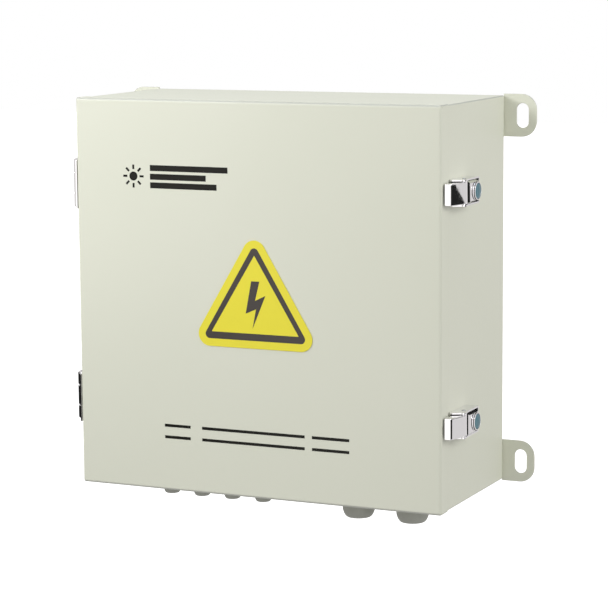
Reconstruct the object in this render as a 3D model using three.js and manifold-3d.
// DC combiner box for two photovoltaic strings: a wall-hung sheet-metal enclosure with a hinged
// pan door, two claw latches, six cable glands and the protection gear on its mounting plate.
// Millimetres. +Z is up, -Y is the front, and the wall is the plane Y = 0.
import * as THREE from "three";
import { mergeVertices } from "three/addons/utils/BufferGeometryUtils.js";
import Module from "manifold-3d";

const wasm = await Module();
wasm.setup();

// ---- driving dimensions ----
const WIDTH = 400; // door, outside
const HEIGHT = 400;
const DEPTH = 180; // door front to wall
const SHEET = 1.5; // folded steel sheet
const GAP = 0.3; // between touching pieces
const FRONT = -DEPTH;

const DOOR_DEPTH = 18.75; // side flange of the pan door
const BODY_INSET = 0.75; // body is this much inside the door on each side
const BODY_HALF = WIDTH / 2 - BODY_INSET;
const BODY_FRONT = FRONT + DOOR_DEPTH + 0.5;
const EAR_THICK = 2;
const BODY_BACK = -EAR_THICK - GAP;

const LIP_INSET = 14.5; // outer face of the gasket lip, from the door's outer face
const GASKET_WIDTH = 12;
const GASKET_THICK = 8;
const LIP_FRONT = FRONT + SHEET + GASKET_THICK + 2 * GAP;

const EAR = { height: 43.5, reach: 233.5, corner: 16, slotX: 218.5, slotZ: 179, slot: [13, 25] };
const TONGUE = { start: 165, end: 198, step: 6 }; // narrower part of an ear, behind the back panel
const GLAND_Y = FRONT + 98; // row of glands, mid depth
const SMALL_GLAND = { x: -147, pitch: 36, count: 4, flats: 19, thread: 7.6, bore: 4.9, length: 27.8 };
const LARGE_GLAND = { x: 70.5, pitch: 60, count: 2, flats: 33, thread: 14.1, bore: 9.6, length: 34 };

const LABEL = { x: 1, radius: 12.5, halfBase: 50.5, low: -34.5, high: 49.5, thick: 0.3 }; // corner centres

const LATCH_Z = 114; // latches at plus and minus this height
const HINGE_Z = 111;
const HINGE = { x: -207, y: FRONT + 19, radius: 6.5, height: 50, pin: 2.5, leaf: 19 };

const PLATE = { half: 172, thick: 2, y: -20 }; // mounting plate, front face at y
const STUD = { place: 160, spacer: 7, thread: 4, stickOut: 12, clearance: 0.6 }; // carry the plate
const QUADRANTS = [[-1, -1], [-1, 1], [1, -1], [1, 1]]; // signs of x and z
const RAIL = { length: 330, depth: 7.5, height: 35, upper: 72, lower: -58 };
const RAIL_FACE = PLATE.y - RAIL.depth - GAP;

// ---- materials ----
function finish(color, roughness, metalness) {
  return new THREE.MeshStandardMaterial({ color, roughness, metalness });
}
const paint = finish(0xd9dacb, 0.45, 0.0);
const chrome = finish(0xd8d8da, 0.08, 1.0);
const zinc = finish(0xb9bcc0, 0.35, 1.0);
const steel = finish(0x9ea2a6, 0.3, 1.0);
const glandGrey = finish(0x8b8f89, 0.5, 0.0);
const rubber = finish(0x26282a, 0.8, 0.0);
const vinyl = finish(0xe4d034, 0.5, 0.0);
const deviceGrey = finish(0xe6e7e8, 0.45, 0.0);
const deviceDark = finish(0x2b2d30, 0.45, 0.0);
const moduleRed = finish(0xb5392f, 0.45, 0.0);
const copper = finish(0xb87345, 0.3, 1.0);
const brass = finish(0xc9a95a, 0.3, 1.0);
const wireRed = finish(0xb3241f, 0.5, 0.0);
const wireBlack = finish(0x1c1d1f, 0.5, 0.0);
const wireEarth = finish(0x8fb23a, 0.5, 0.0);

// ---- solids ----
// A closed geometry as a solid, and a solid back as a flat-shaded geometry.
function solid(geometry) {
  const bare = geometry.clone();
  bare.deleteAttribute("normal");
  bare.deleteAttribute("uv");
  const merged = mergeVertices(bare, 1e-4);
  const mesh = { numProp: 3, vertProperties: merged.attributes.position.array, triVerts: merged.index.array };
  return new wasm.Manifold(new wasm.Mesh(mesh));
}

function geometryOf(body) {
  const mesh = body.getMesh();
  const geometry = new THREE.BufferGeometry();
  geometry.setAttribute("position", new THREE.BufferAttribute(Float32Array.from(mesh.vertProperties), 3));
  geometry.setIndex(new THREE.BufferAttribute(Uint32Array.from(mesh.triVerts), 1));
  geometry.computeVertexNormals();
  return geometry;
}

const join = (first, ...rest) => rest.reduce((sum, part) => sum.add(part), first);
const cut = (first, ...rest) => rest.reduce((left, part) => left.subtract(part), first);

// A box from its low and high corner.
function block(x0, x1, y0, y1, z0, z1) {
  const geometry = new THREE.BoxGeometry(x1 - x0, y1 - y0, z1 - z0);
  return solid(geometry.translate((x0 + x1) / 2, (y0 + y1) / 2, (z0 + z1) / 2));
}

// A round bar along an axis, from a to b, about (u, v) in the two other axes in X, Y, Z order.
function bar(axis, radius, a, b, u, v, segments = 20) {
  const geometry = new THREE.CylinderGeometry(radius, radius, b - a, segments);
  if (axis === "x") return solid(geometry.rotateZ(Math.PI / 2).translate((a + b) / 2, u, v));
  if (axis === "y") return solid(geometry.translate(u, (a + b) / 2, v));
  return solid(geometry.rotateX(Math.PI / 2).translate(u, v, (a + b) / 2));
}

// An outline in (first, second) extruded along the third axis from a to b. The plane is
// "xy" (along Z), "yz" (along X) or "xz" (along Y).
function prism(plane, outline, a, b, curveSegments = 8) {
  const corners = Array.isArray(outline) && outline.map(([u, v]) => new THREE.Vector2(u, v));
  const shape = corners ? new THREE.Shape(corners) : outline;
  const geometry = new THREE.ExtrudeGeometry(shape, { depth: b - a, bevelEnabled: false, curveSegments });
  geometry.translate(0, 0, a);
  const swap = new THREE.Matrix4();
  if (plane === "yz") swap.set(0, 0, 1, 0, 1, 0, 0, 0, 0, 1, 0, 0, 0, 0, 0, 1);
  if (plane === "xz") swap.set(1, 0, 0, 0, 0, 0, -1, 0, 0, 1, 0, 0, 0, 0, 0, 1);
  if (plane === "xz") geometry.translate(0, 0, -(a + b)); // the swap turns the depth round
  return solid(geometry.applyMatrix4(swap));
}

// A profile of (radius, height) turned about Z.
function turned(profile, segments = 20) {
  const points = profile.map(([r, z]) => new THREE.Vector2(r, z));
  return solid(new THREE.LatheGeometry(points, segments).rotateX(Math.PI / 2));
}

// A hexagonal bar along Z from a to b, given its width across flats.
function hexagon(flats, a, b) {
  const reach = flats / Math.sqrt(3);
  const turns = [0, 1, 2, 3, 4, 5].map((i) => (i * Math.PI) / 3);
  const corners = turns.map((turn) => [reach * Math.cos(turn), reach * Math.sin(turn)]);
  return prism("xy", corners, a, b);
}

// ---- the scene graph ----
const box = new THREE.Group();
function piece(name, body, material, position = [0, 0, 0]) {
  const mesh = new THREE.Mesh(geometryOf(body), material);
  mesh.name = name;
  mesh.position.set(...position);
  box.add(mesh);
}

// ---- enclosure ----
// Positions of all six glands, as [name, x, size].
function glandPlaces() {
  const rows = [["small", SMALL_GLAND], ["large", LARGE_GLAND]];
  return rows.flatMap(([kind, size]) =>
    Array.from({ length: size.count }, (_, i) => [kind + "_" + (i + 1), size.x + i * size.pitch, size]),
  );
}

// Folded body: five walls, with four stepped studs for the mounting plate on the back one.
function enclosureShell() {
  const outer = BODY_HALF;
  const inner = outer - SHEET;
  let shell = cut(
    block(-outer, outer, BODY_FRONT, BODY_BACK, -outer, outer),
    block(-inner, inner, BODY_FRONT - 1, BODY_BACK - SHEET, -inner, inner),
  );
  const root = BODY_BACK - SHEET / 2; // the studs start inside the back wall
  for (const [x, z] of QUADRANTS) {
    const place = [x * STUD.place, z * STUD.place];
    const spacer = bar("y", STUD.spacer, PLATE.y + PLATE.thick + GAP, root, ...place, 16);
    const thread = bar("y", STUD.thread, PLATE.y - STUD.stickOut, root, ...place, 12);
    shell = join(shell, spacer, thread);
  }
  for (const [, x, size] of glandPlaces()) {
    const hole = bar("z", size.thread + 0.4, -outer - 1, -inner + 1, x, GLAND_Y);
    shell = cut(shell, hole);
  }
  return shell;
}

// Door frame, welded inside the body's front edge: a flange all round, and a lip turned forward
// off it that the door's gasket closes on.
function doorFrame() {
  const outer = BODY_HALF - SHEET - GAP;
  const lip = WIDTH / 2 - LIP_INSET;
  const opening = lip - SHEET;
  return cut(
    join(
      block(-outer, outer, BODY_FRONT, BODY_FRONT + SHEET, -outer, outer),
      block(-lip, lip, LIP_FRONT, BODY_FRONT + SHEET / 2, -lip, lip),
    ),
    block(-opening, opening, LIP_FRONT - 1, BODY_FRONT + SHEET + 1, -opening, opening),
  );
}

// Wall ear: a slotted tab with rounded corners, and a narrower tongue behind the back panel.
function ear() {
  const { height, reach, corner, slotX, slotZ } = EAR;
  const [slotWidth, slotLength] = EAR.slot;
  const { start, end, step } = TONGUE;
  const low = slotZ - height / 2;
  const high = slotZ + height / 2;
  const tab = new THREE.Shape();
  tab.moveTo(start, low + step).lineTo(end, low + step).lineTo(end, low).lineTo(reach - corner, low);
  tab.absarc(reach - corner, low + corner, corner, -Math.PI / 2, 0, false);
  tab.absarc(reach - corner, high - corner, corner, 0, Math.PI / 2, false);
  tab.lineTo(end, high).lineTo(end, high - step).lineTo(start, high - step).closePath();
  const slot = new THREE.Path();
  const radius = slotWidth / 2;
  const straight = slotLength / 2 - radius; // half the straight part
  slot.absarc(slotX, slotZ + straight, radius, 0, Math.PI, false);
  slot.absarc(slotX, slotZ - straight, radius, Math.PI, 2 * Math.PI, false);
  slot.closePath();
  tab.holes.push(slot);
  return prism("xz", tab, -EAR_THICK, 0, 8);
}

// Gland in its own frame: Z = 0 is the bottom wall's outer face, and the cap hangs below it.
function gland(size) {
  const { flats, thread, bore, length } = size;
  const flange = flats * 0.26;
  const inside = flats * 0.45; // thread above the wall's outer face
  const neck = length * 0.62; // thread below it
  const tube = bar("z", bore, -length - 1, inside + 1, 0, 0, 16);
  const body = cut(join(hexagon(flats, -flange, -GAP), bar("z", thread, -neck, inside, 0, 0)), tube);

  const capTop = -flange - GAP;
  const shoulder = -length * 0.45; // the dome starts here
  const rim = flats * 0.545;
  const mouth = flats * 0.34;
  const dome = (angle) => [
    mouth + (rim - mouth) * Math.cos(angle),
    shoulder - (length + shoulder) * Math.sin(angle),
  ];
  const quarter = [3, 2, 1, 0].map((i) => dome((i * Math.PI) / 6));
  const shell = turned([[0, -length], ...quarter, [rim, capTop], [0, capTop]]);
  const seat = bar("z", thread + GAP, -neck - GAP, 1, 0, 0);
  const cap = cut(shell.intersect(hexagon(flats, -length - 1, capTop + 1)), seat, tube);
  return { body, cap };
}

piece("enclosure_shell", enclosureShell(), paint);
piece("door_frame", doorFrame(), paint);
for (const [x, z] of QUADRANTS) {
  const name = (z > 0 ? "top" : "bottom") + (x > 0 ? "_right" : "_left");
  piece("mounting_ear_" + name, ear().scale([x, 1, z]), paint);
}
const glandSolids = new Map([SMALL_GLAND, LARGE_GLAND].map((size) => [size, gland(size)]));
for (const [name, x, size] of glandPlaces()) {
  const { body, cap } = glandSolids.get(size);
  piece("gland_body_" + name, body, glandGrey, [x, GLAND_Y, -BODY_HALF]);
  piece("gland_cap_" + name, cap, glandGrey, [x, GLAND_Y, -BODY_HALF]);
}

// ---- door ----
function doorPanel() {
  const h = WIDTH / 2;
  const back = FRONT + DOOR_DEPTH;
  return cut(
    block(-h, h, FRONT, back, -HEIGHT / 2, HEIGHT / 2),
    block(-h + SHEET, h - SHEET, FRONT + SHEET, back + 1, -HEIGHT / 2 + SHEET, HEIGHT / 2 - SHEET),
  );
}

function doorGasket() {
  const middle = WIDTH / 2 - LIP_INSET - SHEET / 2;
  const outer = middle + GASKET_WIDTH / 2;
  const inner = middle - GASKET_WIDTH / 2;
  const front = FRONT + SHEET + GAP;
  const back = front + GASKET_THICK;
  return cut(
    block(-outer, outer, front, back, -outer, outer),
    block(-inner, inner, front - 1, back + 1, -inner, inner),
  );
}

// Rounded triangular hazard label: a triangle with a circle of radius r round each corner.
function label() {
  const { radius, halfBase, low, high } = LABEL;
  const slope = Math.atan2(high - low, halfBase);
  const normal = Math.PI / 2 - slope; // the way that the right side faces
  const shape = new THREE.Shape();
  shape.absarc(halfBase, low, radius, -Math.PI / 2, normal, false);
  shape.absarc(0, high, radius, normal, Math.PI - normal, false);
  shape.absarc(-halfBase, low, radius, Math.PI - normal, 1.5 * Math.PI, false);
  shape.closePath();
  return prism("xz", shape, FRONT - GAP - LABEL.thick, FRONT - GAP, 6);
}

piece("door_panel", doorPanel(), paint);
piece("door_gasket", doorGasket(), rubber);
piece("hazard_label", label(), vinyl, [LABEL.x, 0, 0]);

// ---- hinges ----
// Local frame: the pin's axis, +X towards the box, -Y towards the front.
// Side is +1 for the body's leaf and -1 for the door's: a wedge on the side wall, and knuckles
// round the pin that a bridge joins to it.
function hingeLeaf(side) {
  const { radius, height, pin, leaf } = HINGE;
  const half = height / 2;
  const knuckle = height * 0.2; // half the middle knuckle
  const seat = -HINGE.x - WIDTH / 2 + (side > 0 ? BODY_INSET : 0) - GAP;
  const far = leaf - BODY_INSET;
  const wedge = [[seat, radius], [seat, far], [seat - 3, far], [seat - 4.5, radius]];
  const outline = wedge.map(([x, y]) => [x, side * y]);
  if (side > 0) outline.reverse();
  let body = prism("xy", outline, -half, half);
  const outside = [[-half, -knuckle - GAP], [knuckle + GAP, half]];
  const bridge = [side, side * (radius + 1)].sort((a, b) => a - b);
  for (const [a, b] of side > 0 ? outside : [[-knuckle, knuckle]]) {
    body = join(body, bar("z", radius, a, b, 0, 0), block(0.5, seat - 0.25, ...bridge, a, b));
  }
  return cut(body, bar("z", pin + 0.1, -half - 1, half + 1, 0, 0));
}

for (const [name, z] of [["upper", HINGE_Z], ["lower", -HINGE_Z]]) {
  const at = [HINGE.x, HINGE.y, z];
  piece("hinge_body_leaf_" + name, hingeLeaf(1), chrome, at);
  piece("hinge_door_leaf_" + name, hingeLeaf(-1), chrome, at);
  piece("hinge_pin_" + name, bar("z", HINGE.pin, -HINGE.height / 2, HINGE.height / 2, 0, 0), steel, at);
}

// ---- claw latches ----
// Local frame: +X out from the door's flange, Y from the door's front, Z from the latch's middle.
const LATCH = {
  handle: { pivot: [8.8, 38], radius: 7, half: 11, face: 15.8, end: 64.4 },
  claw: { pivot: [12.4, 28], radius: 2.6, half: 10.75, front: 3.5, inner: 1.6 },
  base: { foot: -BODY_INSET + GAP, top: 1, rim: 13.4, front: 21.5, back: 67.2, half: 13, cheek: 1.6 },
  barrel: { y: 53.3, radius: 7.6, boss: 9.9, face: 16.4 },
  wall: 2, // casting thickness
  pin: 1.5,
  trunnion: 1.1,
};

// Handle: a hollow casting, round at its pivot end and round its lock barrel, open to the wall.
function latchHandle() {
  const { pivot, radius, half, face, end } = LATCH.handle;
  const { y, boss } = LATCH.barrel;
  const [px, py] = pivot;
  const low = px - radius;
  const front = py - radius - 1;
  const bevel = 3;
  const side = new THREE.Shape();
  side.moveTo(face, py).lineTo(face, end - bevel).lineTo(face - bevel, end).lineTo(low, end).lineTo(low, py);
  side.absarc(px, py, radius, Math.PI, 2 * Math.PI, false);
  const plan = new THREE.Shape();
  plan.moveTo(front, -half);
  plan.absarc(y, 0, half, -Math.PI / 2, Math.PI / 2, false);
  plan.lineTo(front, half).closePath();
  const [shoulder, top, deep, wide] = [face - bevel, face + 1, low - 1, half + 1];
  const slope = half - bevel;
  const section = [
    [deep, -wide], [shoulder, -wide], [top, -slope],
    [top, slope], [shoulder, wide], [deep, wide],
  ];
  const outer = prism("xy", side, -half, half)
    .intersect(prism("yz", plan, deep, top))
    .intersect(prism("xz", section, front, end + 1));
  const inner = half - LATCH.wall;
  const ceiling = face - LATCH.wall;
  const room = join(block(deep, ceiling, py - 3, y, -inner, inner), bar("x", inner, deep, ceiling, y, 0));
  const socket = bar("x", boss - 1, 6.5, face - 1, y, 0);
  return cut(
    join(cut(outer, room), socket),
    bar("x", LATCH.barrel.radius + 0.2, 0, top, y, 0),
    bar("z", LATCH.pin + 0.2, -wide, wide, px, py, 16),
  );
}

// Claw: a hollow wedge that reaches over the door's flange, with trunnions cast on its back end.
function latchClaw() {
  const { pivot, radius, half, front, inner } = LATCH.claw;
  const [px, py] = pivot;
  const outline = new THREE.Shape();
  outline.moveTo(inner, front).lineTo(8, front).lineTo(10, 7).lineTo(px + radius, py);
  outline.absarc(px, py, radius, 0, Math.PI, false);
  outline.lineTo(px - radius, py - 3).lineTo(inner, py - 8).closePath();
  const room = [
    [inner - 1, front + 2], [7.2, front + 2], [8.6, 7.8],
    [10.8, 20], [8.6, 22.5], [inner - 1, 18.5],
  ];
  const wedge = prism("xy", outline, -half, half, 6);
  const axle = bar("z", LATCH.trunnion, -LATCH.base.half, LATCH.base.half, px, py, 12);
  return join(cut(wedge, prism("xy", room, -half + LATCH.wall, half - LATCH.wall)), axle);
}

// Base: a cup on the side wall, whose two cheeks carry the handle's pin and the claw.
function latchBase() {
  const { foot, top, rim, front, back, half, cheek } = LATCH.base;
  const [hx, hy] = LATCH.handle.pivot;
  const [cx, cy] = LATCH.claw.pivot;
  const outline = new THREE.Shape();
  outline.moveTo(foot, front).lineTo(3, front).lineTo(cx - 1.2, cy - 2.2);
  outline.absarc(cx, cy, 2.5, -2.07, 0, false);
  outline.lineTo(rim, hy).lineTo(rim, back).lineTo(foot, back).closePath();
  const cheeks = [-half, half - cheek].map((z) => prism("xy", outline, z, z + cheek, 6));
  const floor = block(foot, top, front, back, -half, half);
  const end = block(foot, rim, back - cheek, back, -half, half);
  return cut(
    join(floor, end, ...cheeks),
    bar("z", LATCH.pin + 0.2, -half - 1, half + 1, hx, hy, 16),
    bar("z", LATCH.trunnion + 0.2, -half - 1, half + 1, cx, cy, 12),
  );
}

// Lock barrel: a key slot in its face and a cam on its inner end.
function lockBarrel() {
  const { y, radius, face } = LATCH.barrel;
  const cam = block(3.2, 4.8, y - 3, y + 8, -2.4, 2.4);
  const slot = block(face - 4, face + 1, y - 0.75, y + 0.75, -3.6, 3.6);
  return cut(join(bar("x", radius, 4.7, face, y, 0), cam), slot);
}

// Strike: a low ridge on the door's flange, under the claw's front edge.
const latchStrike = () => join(block(GAP, 0.8, 6, 17, -8, 8), block(GAP, 1.25, 8.5, 10.5, -8, 8));

for (const [name, z] of [["upper", LATCH_Z], ["lower", -LATCH_Z]]) {
  const at = [WIDTH / 2, FRONT, z];
  const { half } = LATCH.base;
  piece("latch_base_" + name, latchBase(), chrome, at);
  piece("latch_handle_" + name, latchHandle(), chrome, at);
  piece("latch_claw_" + name, latchClaw(), chrome, at);
  piece("latch_barrel_" + name, lockBarrel(), zinc, at);
  piece("latch_pin_" + name, bar("z", LATCH.pin, -half, half, ...LATCH.handle.pivot, 16), steel, at);
  piece("latch_strike_" + name, latchStrike(), zinc, at);
}

// ---- mounting plate and rails ----
function mountingPlate() {
  const { half, thick, y } = PLATE;
  let body = block(-half, half, y, y + thick, -half, half);
  for (const [x, z] of QUADRANTS) {
    const place = [x * STUD.place, z * STUD.place];
    body = cut(body, bar("y", STUD.thread + STUD.clearance, y - 1, y + thick + 1, ...place, 16));
  }
  return body;
}

// Top-hat rail, 35 x 7.5, 1 mm sheet.
function dinRail() {
  const [brim, crown, depth, sheet] = [RAIL.height / 2, 12.5, RAIL.depth, 1];
  const rim = sheet - depth;
  const inside = crown - sheet;
  const hat = [
    [0, -crown], [0, crown], [rim, crown], [rim, brim], [-depth, brim], [-depth, inside],
    [-sheet, inside], [-sheet, -inside], [-depth, -inside], [-depth, -brim], [rim, -brim], [rim, -crown],
  ];
  return prism("yz", hat, -RAIL.length / 2, RAIL.length / 2);
}

piece("mounting_plate", mountingPlate(), zinc);
for (const name of ["upper", "lower"]) {
  piece("din_rail_" + name, dinRail(), steel, [0, PLATE.y - GAP, RAIL[name]]);
}

// ---- devices on the rails ----
// Local frame of each device: middle of its back on the rail's front face, -Y to the front.
const SHOULDER = -44; // front of the terminal shoulders
const NOSE = -60; // front of the middle part
const POLE = 18; // width of one pole
const TERMINAL = { y: -25, halfX: 4, halfY: 5, inset: 9, deep: 8 }; // wire holes above and below
const poleX = (pole, poles) => (pole - (poles - 1) / 2) * POLE;

// Body of a rail device: shoulders with wire holes and screw holes above and below a middle part.
function deviceBody(poles, half, noseHalf, nose) {
  const w = (poles * POLE - GAP) / 2;
  const profile = [
    [-0.5, -half], [-0.5, half], [SHOULDER, half], [SHOULDER, noseHalf],
    [nose, noseHalf], [nose, -noseHalf], [SHOULDER, -noseHalf], [SHOULDER, -half],
  ];
  let body = prism("yz", profile, -w, w);
  const { y, halfX, halfY, inset, deep } = TERMINAL;
  for (let pole = 0; pole < poles; pole++) {
    const x = poleX(pole, poles);
    for (const side of [-1, 1]) {
      const [a, b] = [side * (half - deep), side * (half + 1)];
      const screw = bar("y", 3.2, SHOULDER - 1, SHOULDER + 8, x, side * (half - inset), 10);
      const hole = block(x - halfX, x + halfX, y - halfY, y + halfY, Math.min(a, b), Math.max(a, b));
      body = cut(body, screw, hole);
    }
  }
  return body;
}

// Two-pole fuse base: its middle is a pocket for the swing-out carrier.
const FUSE = { half: 39, nose: 22.5, pivot: [-52, -17], swing: 38.6, x: -111, poles: 2, wall: 1.5 };
function fuseBase() {
  const { half, nose, pivot, poles, wall } = FUSE;
  const w = (poles * POLE - GAP) / 2;
  const inner = w - wall;
  const pocket = block(-inner, inner, NOSE - 5, -12.5, -nose, nose);
  const mouth = block(-inner, inner, NOSE - 5, SHOULDER, -nose - 9, 0);
  const axles = bar("x", 2.2, -w - 1, w + 1, ...pivot, 12);
  return cut(deviceBody(poles, half, nose, NOSE + 2), pocket, mouth, axles);
}

// Fuse carrier: turns on two stub axles near its lower edge, with a chamber for each fuse.
function fuseCarrier() {
  const { nose, pivot, swing, poles, wall } = FUSE;
  const w = (poles * POLE - GAP) / 2 - wall - GAP;
  const reach = bar("x", swing, -w, w, ...pivot, 48);
  const body = block(-w, w, NOSE - 1, -12, -nose + 0.4, nose - 0.4).intersect(reach);
  const grip = block(-w + 2, w - 2, NOSE - 7, NOSE - 0.5, 8, 14);
  const chambers = [0, 1].map((pole) => bar("z", 5.3, -19, nose + 1, poleX(pole, poles), -34, 12));
  return cut(join(body, grip, bar("x", 1.9, -w - 1.3, w + 1.3, ...pivot, 12)), ...chambers);
}

// Surge protector: a base with three plug-in modules.
const SURGE = { half: 45, nose: 22.5, x: -93, poles: 3 };
function surgeBase() {
  const { half, nose, poles } = SURGE;
  const w = (poles * POLE) / 2 + 1;
  return cut(deviceBody(poles, half, nose, SHOULDER - 2), block(-w, w, SHOULDER - 4, -14, -nose, nose));
}

function surgeModule() {
  const w = POLE / 2 - 0.4;
  const half = SURGE.nose - 0.4;
  const lug = (z) => block(-w + 1.5, w - 1.5, NOSE - 4, NOSE + 0.5, z - 2, z + 2);
  return join(block(-w, w, NOSE, -14.5, -half, half), lug(-14), lug(14));
}

// Four-pole breaker with one ganged toggle, which leans up when it is on.
const BREAKER = { half: 41, nose: 22.5, x: 100, poles: 4, pivot: [-57, 0], lean: 40, reach: 17 };
function breakerBody() {
  const { half, nose, poles } = BREAKER;
  return cut(deviceBody(poles, half, nose, NOSE - 4), block(-31, 31, NOSE - 5, -50.5, -10, 10));
}

function breakerToggle() {
  const { pivot, lean, reach } = BREAKER;
  const lever = prism("yz", [[2, -2.5], [2, 2.5], [-reach, 2], [-reach, -2]], -27, 27);
  return join(bar("x", 5.5, -30, 30, 0, 0), lever.rotate([-lean, 0, 0])).translate([0, ...pivot]);
}

for (let i = 0; i < 2; i++) {
  const at = [FUSE.x + i * FUSE.poles * POLE, RAIL_FACE, RAIL.lower];
  piece("fuse_base_" + (i + 1), fuseBase(), deviceGrey, at);
  piece("fuse_carrier_" + (i + 1), fuseCarrier(), deviceDark, at);
}
piece("surge_protector_base", surgeBase(), deviceGrey, [SURGE.x, RAIL_FACE, RAIL.upper]);
for (let i = 0; i < SURGE.poles; i++) {
  const x = SURGE.x + poleX(i, SURGE.poles);
  piece("surge_module_" + (i + 1), surgeModule(), moduleRed, [x, RAIL_FACE, RAIL.upper]);
}
piece("breaker_body", breakerBody(), deviceGrey, [BREAKER.x, RAIL_FACE, RAIL.lower]);
piece("breaker_toggle", breakerToggle(), deviceDark, [BREAKER.x, RAIL_FACE, RAIL.lower]);

// ---- busbars, earth bar and wires ----
const WIRE_Y = RAIL_FACE + TERMINAL.y; // wires and busbars enter the devices at this depth
const FUSE_TOP = RAIL.lower + FUSE.half;
const COMB = { offset: 3, thick: 2, overhang: 5, low: FUSE_TOP + 5, high: FUSE_TOP + 14 };
const COMB_START = FUSE.x - POLE / 2; // first fuse pole
const COMB_END = COMB_START + 3 * POLE + COMB.overhang;

// Comb busbar: a bar above the fuse bases with a tooth down to every second pole.
function comb(first, y) {
  const [a, b] = [y - COMB.thick / 2, y + COMB.thick / 2];
  let body = block(COMB_START - COMB.overhang, COMB_END, a, b, COMB.low, COMB.high);
  for (const pole of [first, first + 2]) {
    const x = COMB_START + pole * POLE;
    body = join(body, block(x - 2, x + 2, a, b, COMB.low - 10, COMB.low + 2));
  }
  return body;
}

const EARTH = { from: 28, to: 148, low: -148, high: -136, standOff: 22, thick: 10, pitch: 12 };
function earthBar() {
  const { from, to, low, high, standOff, thick, pitch } = EARTH;
  const back = PLATE.y - standOff;
  const front = back - thick;
  const foot = (x) => block(x, x + pitch, back - 2, PLATE.y - GAP, low, high);
  let body = join(block(from, to, front, back, low, high), foot(from + 4), foot(to - 4 - pitch));
  for (let x = from + 2 * pitch; x < to - pitch; x += pitch) {
    const hole = bar("y", 2.6, front - 1, front + 6, x, (low + high) / 2, 10);
    body = cut(body, hole);
  }
  return body;
}

// A wire: a round section drawn along a smooth line through the given points.
const WIRE = { radius: 2.2, sides: 8 };
function wire(points, steps) {
  const path = new THREE.CatmullRomCurve3(points.map((p) => new THREE.Vector3(...p)), false, "centripetal");
  const turn = (2 * Math.PI) / WIRE.sides;
  const corner = (i) => new THREE.Vector2(WIRE.radius * Math.cos(i * turn), WIRE.radius * Math.sin(i * turn));
  const section = new THREE.Shape(Array.from({ length: WIRE.sides }, (_, i) => corner(i)));
  return solid(new THREE.ExtrudeGeometry(section, { steps, bevelEnabled: false, extrudePath: path }));
}

const PLUS_Y = WIRE_Y - COMB.offset;
const MINUS_Y = WIRE_Y + COMB.offset;
const combMiddle = (COMB.low + COMB.high) / 2;
const breakerTop = RAIL.lower + BREAKER.half;
const surgeBottom = RAIL.upper - SURGE.half;
const surgeTop = RAIL.upper + SURGE.half;
const breakerPole = (pole) => BREAKER.x + poleX(pole, BREAKER.poles);

piece("busbar_positive", comb(0, PLUS_Y), copper);
piece("busbar_negative", comb(1, MINUS_Y), copper);
piece("earth_bar", earthBar(), brass);

const positiveFeed = [
  [COMB_END + GAP, PLUS_Y, combMiddle],
  [-40, PLUS_Y, combMiddle],
  [10, PLUS_Y, -2],
  [50, WIRE_Y - 1, 8],
  [67, WIRE_Y, 5],
  [breakerPole(0), WIRE_Y, -8],
  [breakerPole(0), WIRE_Y, breakerTop - 6],
];
const negativeFeed = [
  [COMB_END + GAP, MINUS_Y, combMiddle],
  [-40, MINUS_Y, combMiddle],
  [10, MINUS_Y, 6],
  [55, WIRE_Y + 1, 19],
  [82, WIRE_Y, 14],
  [breakerPole(1), WIRE_Y, -4],
  [breakerPole(1), WIRE_Y, breakerTop - 6],
];
const earthRun = [
  [SURGE.x, WIRE_Y, surgeTop - 6],
  [SURGE.x, WIRE_Y, surgeTop + 14],
  [-80, WIRE_Y, 146],
  [-45, WIRE_Y, 151],
  [95, WIRE_Y, 151],
  [142, WIRE_Y, 148],
  [157, WIRE_Y, 130],
  [160, WIRE_Y, 60],
  [160, WIRE_Y, -80],
  [160, -49, -122],
  [158, -47, -138],
  [153.5, -47, -142],
  [EARTH.to + GAP + 0.1, -47, -142],
];
const surgeDrop = (pole, y) => {
  const x = SURGE.x + poleX(pole, SURGE.poles);
  return [
    [x, WIRE_Y, surgeBottom + 6],
    [x, WIRE_Y, surgeBottom - 8],
    [x, y, COMB.high + 10],
    [x, y, COMB.high + GAP],
  ];
};
piece("wire_positive_feed", wire(positiveFeed, 20), wireRed);
piece("wire_negative_feed", wire(negativeFeed, 22), wireBlack);
piece("wire_surge_positive", wire(surgeDrop(0, PLUS_Y), 8), wireRed);
piece("wire_surge_negative", wire(surgeDrop(2, MINUS_Y), 8), wireBlack);
piece("wire_earth", wire(earthRun, 56), wireEarth);

export default box;
